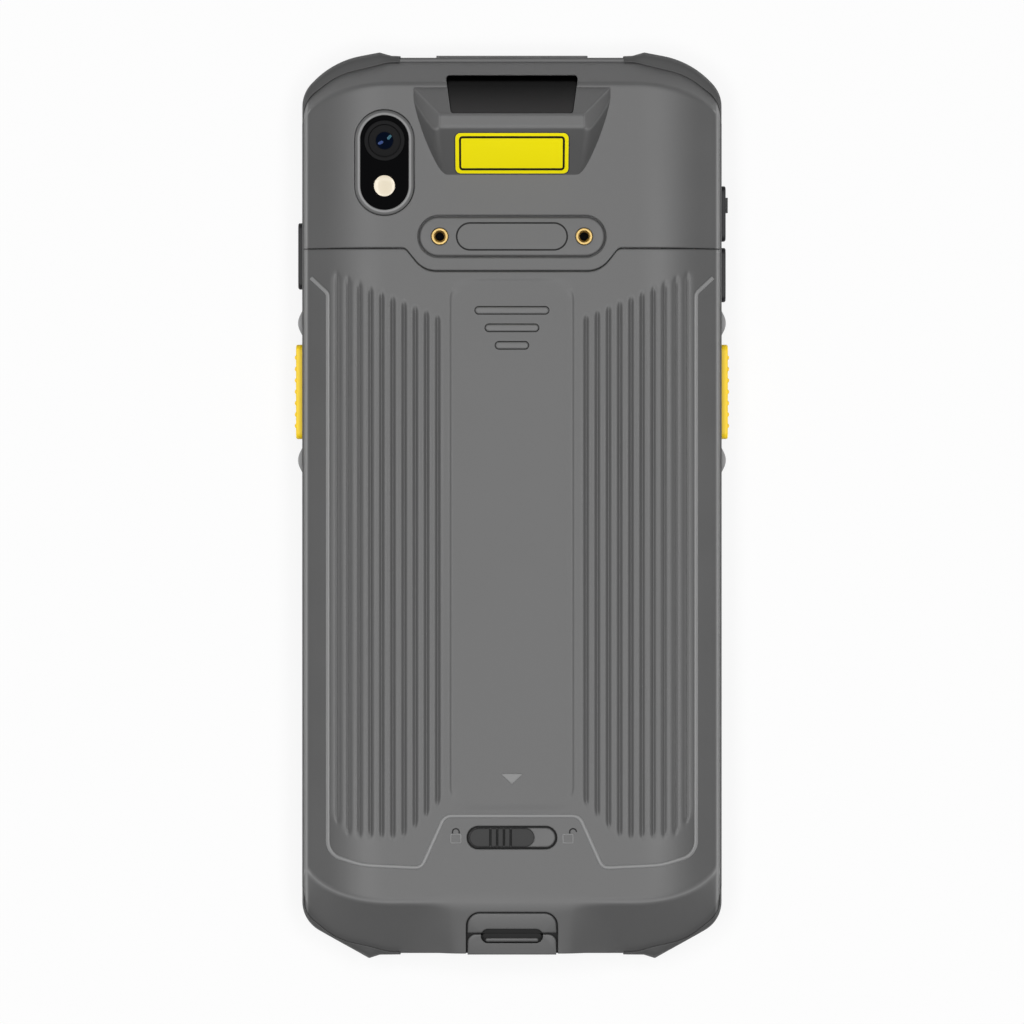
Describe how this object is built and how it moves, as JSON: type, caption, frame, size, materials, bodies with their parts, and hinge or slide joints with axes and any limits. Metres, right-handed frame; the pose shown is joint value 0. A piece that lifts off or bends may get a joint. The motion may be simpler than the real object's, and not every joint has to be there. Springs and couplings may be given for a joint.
{
  "type": "portable barcode data terminal",
  "caption": "Rugged handheld barcode terminal with a raised scanner hood, ribbed hinged battery cover with slide lock, side scan keys, camera and a hinged port cover.",
  "frame": {"origin": "under the middle of the terminal, on the plane its display rim rests on", "axes": "+X to the right seen from the back, +Y towards the scanner end, +Z out of the back"},
  "size_m": [0.0788, 0.1642, 0.0227],
  "materials": {
    "housing_plastic": "fine moulded texture",
    "frame_plastic": "fine moulded texture",
    "bumper_rubber": "soft matt overmould",
    "guard_rubber": "soft matt",
    "bezel_plastic": "fine moulded texture",
    "cover_glass": "polished",
    "display_stack": "gloss",
    "scan_window": "polished",
    "dark_glass": "polished",
    "seal_rubber": "matt",
    "label_film": "printed film",
    "brass": "turned",
    "anodised_ring": "anodised",
    "clear_lens": "coated",
    "flash_diffuser": "moulded",
    "module_plastic": "moulded",
    "black_key": "fine moulded texture",
    "yellow_key": "fine moulded texture",
    "slider_plastic": "fine moulded texture",
    "port_rubber": "soft matt",
    "circuit_board": "solder mask",
    "flex_film": "film",
    "steel": "stamped",
    "chip_plastic": "moulded",
    "battery_film": "shrink film"
  },
  "bodies": {
    "frame": {"aiming_lens": "clear_lens", "antennas": "flex_film", "battery_contacts": "module_plastic", "battery_pack": "battery_film", "board_flex": "flex_film", "bumper_bottom_left": "bumper_rubber", "bumper_bottom_right": "bumper_rubber", "bumper_top_left": "bumper_rubber", "bumper_top_right": "bumper_rubber", "camera_bezel": "anodised_ring", "camera_lens": "clear_lens", "camera_lens_glass": "clear_lens", "camera_module": "module_plastic", "camera_window": "dark_glass", "card_socket": "steel", "case_screws": "steel", "display_glass": "cover_glass", "display_panel": "display_stack", "earpiece": "module_plastic", "flash_led": "chip_plastic", "flash_lens": "flash_diffuser", "front_bezel": "bezel_plastic", "front_camera": "module_plastic", "key_flexes": "flex_film", "key_guards": "guard_rubber", "key_switches": "chip_plastic", "label_plate": "label_film", "lock_catch": "steel", "main_board": "circuit_board", "microphone": "chip_plastic", "mid_frame": "frame_plastic", "port_cover_pin": "steel", "processor": "chip_plastic", "rear_housing": "housing_plastic", "scan_engine": "module_plastic", "scan_engine_bracket": "steel", "scan_lens": "clear_lens", "scan_window": "scan_window", "scan_window_gasket": "seal_rubber", "scanner_hood": "housing_plastic", "shield_cans": "steel", "speaker": "module_plastic", "strap_inserts": "brass", "strap_plate": "housing_plastic", "sub_board": "circuit_board", "usb_connector": "steel", "vibration_motor": "steel"},
    "cover": {"battery_cover": "housing_plastic", "cover_seal": "seal_rubber", "lock_detent": "steel"},
    "lock": {"lock_slider": "slider_plastic", "lock_bolt": "steel"},
    "port_flap": {"port_cover": "port_rubber"},
    "left_key_cap": {"left_key": "black_key"},
    "left_scan_key_cap": {"left_scan_key": "yellow_key"},
    "right_upper_key_cap": {"right_upper_key": "black_key"},
    "right_lower_key_cap": {"right_lower_key": "black_key"},
    "right_scan_key_cap": {"right_scan_key": "yellow_key"}
  },
  "joints": [
    {"name": "battery_cover_hinge", "type": "hinge", "parent": "frame", "child": "cover", "pos_m": [0, 0.0463, 0.016], "axis": [-1, 0, 0], "range_deg": [0, 70]},
    {"name": "lock_slide", "type": "slide", "parent": "cover", "child": "lock", "axis": [1, 0, 0], "range_m": [0, 0.0038]},
    {"name": "port_cover_hinge", "type": "hinge", "parent": "frame", "child": "port_flap", "pos_m": [0, -0.08, 0.0044], "axis": [1, 0, 0], "range_deg": [0, 95]},
    {"name": "left_key_press", "type": "slide", "parent": "frame", "child": "left_key_cap", "axis": [1, 0, 0], "range_m": [0, 0.00035], "stiffness_N_per_m": 2000},
    {"name": "left_scan_key_press", "type": "slide", "parent": "frame", "child": "left_scan_key_cap", "axis": [1, 0, 0], "range_m": [0, 0.00035], "stiffness_N_per_m": 2000},
    {"name": "right_upper_key_press", "type": "slide", "parent": "frame", "child": "right_upper_key_cap", "axis": [-1, 0, 0], "range_m": [0, 0.00035], "stiffness_N_per_m": 2000},
    {"name": "right_lower_key_press", "type": "slide", "parent": "frame", "child": "right_lower_key_cap", "axis": [-1, 0, 0], "range_m": [0, 0.00035], "stiffness_N_per_m": 2000},
    {"name": "right_scan_key_press", "type": "slide", "parent": "frame", "child": "right_scan_key_cap", "axis": [-1, 0, 0], "range_m": [0, 0.00035], "stiffness_N_per_m": 2000}
  ]
}
